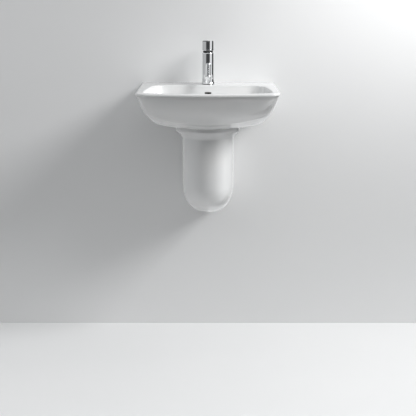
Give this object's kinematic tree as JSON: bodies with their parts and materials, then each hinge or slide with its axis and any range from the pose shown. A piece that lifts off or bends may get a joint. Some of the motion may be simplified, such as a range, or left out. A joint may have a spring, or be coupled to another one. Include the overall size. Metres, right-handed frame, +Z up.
{
  "type": "semi-pedestal washbasin",
  "caption": "Wall-hung washbasin with a deep rounded bowl, a semi pedestal hiding the bottle trap and supply tails, a single-lever mixer and a click waste.",
  "frame": {"origin": "midway between the two wall bolts of the basin, on the plane of the finished wall", "axes": "+Z up, +Y into the wall, +X to the right of someone who faces the basin, so the basin reaches out along -Y; the floor is about 0.88 m below the origin when the rim is 0.96 m high"},
  "size_m": [0.5, 0.42, 0.6501],
  "materials": {
    "glaze": "white glossy glaze",
    "chrome": "polished chrome plate",
    "brass": "plain machined brass",
    "copper": "drawn copper tube",
    "steel": "zinc-plated steel",
    "rubber": "moulded black rubber",
    "white_plastic": "moulded white plastic",
    "grey_plastic": "moulded grey plastic"
  },
  "bodies": {
    "basin_body": {"basin": "glaze", "pedestal": "glaze", "tap_body": "chrome", "tap_base_ring": "chrome", "aerator_shell": "chrome", "cartridge_dome": "chrome", "waste_flange": "chrome", "cartridge_nut": "brass", "stud_nut": "brass", "hot_tail_nut": "brass", "cold_tail_nut": "brass", "waste_backnut": "brass", "hot_tail": "copper", "cold_tail": "copper", "basin_bolt_left": "steel", "basin_bolt_right": "steel", "basin_nut_left": "steel", "basin_nut_right": "steel", "pedestal_bolt_left": "steel", "pedestal_bolt_right": "steel", "pedestal_nut_left": "steel", "pedestal_nut_right": "steel", "tap_stud": "steel", "horseshoe_washer": "steel", "pedestal_seal": "rubber", "tap_base_seal": "rubber", "horseshoe_gasket": "rubber", "waste_upper_seal": "rubber", "waste_lower_seal": "rubber", "trap_inlet_washer": "rubber", "trap_cup_seal": "rubber", "trap_outlet_washer": "rubber", "basin_washer_left": "white_plastic", "basin_washer_right": "white_plastic", "pedestal_washer_left": "white_plastic", "pedestal_washer_right": "white_plastic", "cartridge_body": "white_plastic", "waste_core": "white_plastic", "trap_inlet_nut": "white_plastic", "trap_body": "white_plastic", "trap_dip_tube": "white_plastic", "trap_cup": "white_plastic", "trap_outlet_nut": "white_plastic", "trap_outlet_pipe": "white_plastic", "aerator_insert": "grey_plastic"},
    "mixer_rotor": {"cartridge_rotor": "grey_plastic", "stem_pin": "steel"},
    "mixer_handle": {"handle": "chrome", "handle_screw": "steel", "handle_plug": "grey_plastic", "cartridge_stem": "brass"},
    "waste_stopper": {"waste_plug": "chrome"}
  },
  "joints": [
    {"name": "handle_turn", "type": "hinge", "parent": "basin_body", "child": "mixer_rotor", "pos_m": [0, -0.06, 0.1881], "axis": [0, 0, 1], "range_deg": [-45, 45]},
    {"name": "handle_lift", "type": "hinge", "parent": "mixer_rotor", "child": "mixer_handle", "pos_m": [0, -0.06, 0.1881], "axis": [-1, 0, 0], "range_deg": [0, 17]},
    {"name": "plug_lift", "type": "slide", "parent": "basin_body", "child": "waste_stopper", "axis": [0, 0, 1], "range_m": [0, 0.009]}
  ]
}
